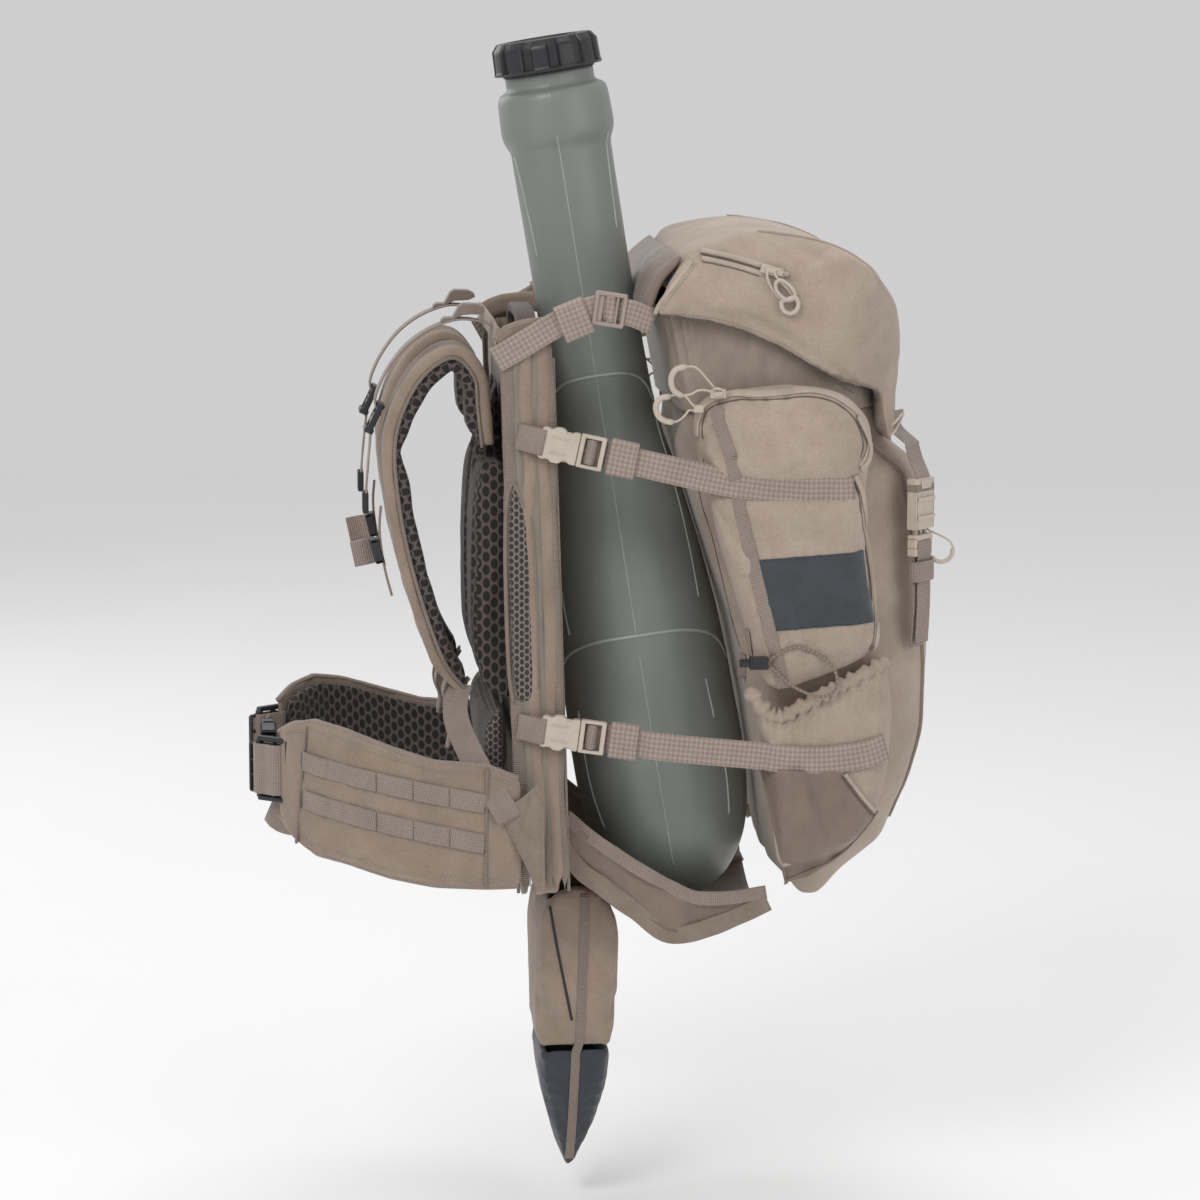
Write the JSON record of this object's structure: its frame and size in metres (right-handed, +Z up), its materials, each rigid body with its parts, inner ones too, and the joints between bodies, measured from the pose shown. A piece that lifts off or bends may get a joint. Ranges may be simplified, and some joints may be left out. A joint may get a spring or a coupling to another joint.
{
  "type": "hunting backpack",
  "caption": "Framed hunting backpack with hip belt, shoulder harness, scabbard tail, top-lid bag and a moulded cargo canister strapped between frame and bag.",
  "frame": {"origin": "middle of the haul loop's grip, at the top of the frame", "axes": "+Z up, -X towards the wearer's back, -Y the wearer's left side"},
  "size_m": [0.6645, 0.3644, 1.1463],
  "materials": {
    "suede": "mottled suede-like tan pack cloth",
    "suede_dark": "shaded taupe pack cloth",
    "nylon": "plain woven nylon with a soft sheen",
    "webbing": "woven nylon webbing",
    "mesh": "open-cell spacer mesh",
    "binding": "folded binding tape",
    "shock_cord": "braided elastic cord",
    "frame_plastic": "natural sheet plastic",
    "stay_metal": "mill finish",
    "canister": "moulded plastic, fine grain",
    "seal": "soft black rubber",
    "black_hardware": "moulded black acetal",
    "tan_hardware": "moulded tan acetal",
    "patch": "plain slate patch",
    "tip_cloth": "coated navy-black cloth"
  },
  "bodies": {
    "root": {"back_panel": "suede_dark", "frame_sheet": "frame_plastic", "frame_stays": "stay_metal", "scabbard_sleeve": "suede", "edge_bindings": "binding", "back_pads": "mesh", "lumbar_pad": "mesh", "haul_loop": "webbing", "load_lifters": "webbing", "lower_webbings": "webbing", "load_sling": "suede_dark", "bag_shell": "suede", "collar": "nylon", "side_pocket_left": "suede", "side_pocket_right": "suede", "cinch_pocket_left": "nylon", "cinch_pocket_right": "nylon", "wing_panels": "nylon", "patch": "patch", "cord_lock": "black_hardware", "cinch_cord": "shock_cord", "socket_upper_left": "tan_hardware", "socket_upper_right": "tan_hardware", "socket_lower_left": "tan_hardware", "socket_lower_right": "tan_hardware", "webbing_upper": "webbing", "webbing_lower": "webbing", "lid_back": "nylon", "top_straps": "webbing", "canister_neck": "canister", "canister_waist": "canister", "canister_belly": "canister"},
    "strap_left": {"shoulder_strap_left": "suede", "strap_lock_left": "black_hardware"},
    "strap_right": {"shoulder_strap_right": "suede", "strap_lock_right": "black_hardware"},
    "sternum_left": {"sternum_half_left": "webbing"},
    "sternum_right": {"sternum_half_right": "webbing"},
    "belt": {"belt_core": "webbing", "belt_wing_left": "suede", "belt_wing_right": "suede", "belt_rows": "webbing", "belt_socket": "black_hardware", "belt_webbing": "webbing"},
    "belt_release": {"belt_plug": "black_hardware"},
    "upper_left_plug": {"plug_upper_left": "tan_hardware"},
    "upper_right_plug": {"plug_upper_right": "tan_hardware"},
    "lower_left_plug": {"plug_lower_left": "tan_hardware"},
    "lower_right_plug": {"plug_lower_right": "tan_hardware"},
    "lid": {"lid": "suede", "front_sockets": "tan_hardware"},
    "lid_zip": {"lid_slider": "tan_hardware"},
    "front_catches": {"front_plugs": "tan_hardware"},
    "pocket_zip_left": {"pocket_slider_left": "tan_hardware"},
    "pocket_zip_right": {"pocket_slider_right": "tan_hardware"},
    "lock_button": {"cord_button": "black_hardware"},
    "cap_ring": {"canister_seal": "seal"},
    "cap": {"canister_cap": "black_hardware"},
    "tail": {"scabbard_tail": "suede", "tail_tip": "tip_cloth"}
  },
  "joints": [
    {"name": "strap_swing_left", "type": "hinge", "parent": "root", "child": "strap_left", "pos_m": [-0.04, 0, -0.1], "axis": [0, 1, 0], "range_deg": [0, 8]},
    {"name": "sternum_slide_left", "type": "slide", "parent": "strap_left", "child": "sternum_left", "axis": [0.184, 0, -0.9829], "range_m": [-0.02, 0.02]},
    {"name": "strap_swing_right", "type": "hinge", "parent": "root", "child": "strap_right", "pos_m": [-0.04, 0, -0.1], "axis": [0, 1, 0], "range_deg": [0, 8]},
    {"name": "sternum_slide_right", "type": "slide", "parent": "strap_right", "child": "sternum_right", "axis": [0.184, 0, -0.9829], "range_m": [-0.02, 0.02]},
    {"name": "belt_tilt", "type": "hinge", "parent": "root", "child": "belt", "pos_m": [-0.022, 0, -0.48], "axis": [0, 1, 0], "range_deg": [0, 8]},
    {"name": "belt_unclip", "type": "slide", "parent": "belt", "child": "belt_release", "axis": [0, 1, 0], "range_m": [0, 0.04]},
    {"name": "upper_left_unclip", "type": "slide", "parent": "root", "child": "upper_left_plug", "axis": [0.9709, -0.1192, -0.2079], "range_m": [0, 0.03]},
    {"name": "upper_right_unclip", "type": "slide", "parent": "root", "child": "upper_right_plug", "axis": [0.9709, 0.1192, -0.2079], "range_m": [0, 0.03]},
    {"name": "lower_left_unclip", "type": "slide", "parent": "root", "child": "lower_left_plug", "axis": [0.9841, -0.1208, -0.1305], "range_m": [0, 0.03]},
    {"name": "lower_right_unclip", "type": "slide", "parent": "root", "child": "lower_right_plug", "axis": [0.9841, 0.1208, -0.1305], "range_m": [0, 0.03]},
    {"name": "lid_open", "type": "hinge", "parent": "root", "child": "lid", "pos_m": [0.144, 0, 0.072], "axis": [0, -1, 0], "range_deg": [0, 55]},
    {"name": "catch_swing", "type": "hinge", "parent": "root", "child": "front_catches", "pos_m": [0.3835, 0, -0.322], "axis": [0, -1, 0], "range_deg": [-126, 0]},
    {"name": "lid_zip_slide", "type": "slide", "parent": "lid", "child": "lid_zip", "axis": [-0.9613, 0, 0.2756], "range_m": [0, 0.07]},
    {"name": "pocket_zip_slide_left", "type": "slide", "parent": "root", "child": "pocket_zip_left", "axis": [1, 0, 0], "range_m": [0, 0.115]},
    {"name": "pocket_zip_slide_right", "type": "slide", "parent": "root", "child": "pocket_zip_right", "axis": [1, 0, 0], "range_m": [0, 0.115]},
    {"name": "lock_press", "type": "slide", "parent": "root", "child": "lock_button", "axis": [1, 0, 0], "range_m": [0, 0.0025], "stiffness_N_per_m": 300},
    {"name": "cap_lift", "type": "slide", "parent": "root", "child": "cap_ring", "axis": [-0.1582, 0, 0.9874], "range_m": [0, 0.0125]},
    {"name": "cap_turn", "type": "hinge", "parent": "cap_ring", "child": "cap", "pos_m": [0.024, 0, 0.233], "axis": [-0.1582, 0, 0.9874], "range_deg": [0, 720]},
    {"name": "tail_swing", "type": "hinge", "parent": "root", "child": "tail", "pos_m": [0.046, 0, -0.606], "axis": [0, 1, 0], "range_deg": [-25, 25]}
  ],
  "couplings": [
    {"joint": "catch_swing", "follows": "lid_open", "ratio": -2.28},
    {"joint": "cap_lift", "follows": "cap_turn", "m_per_rad": 0.00095493}
  ]
}
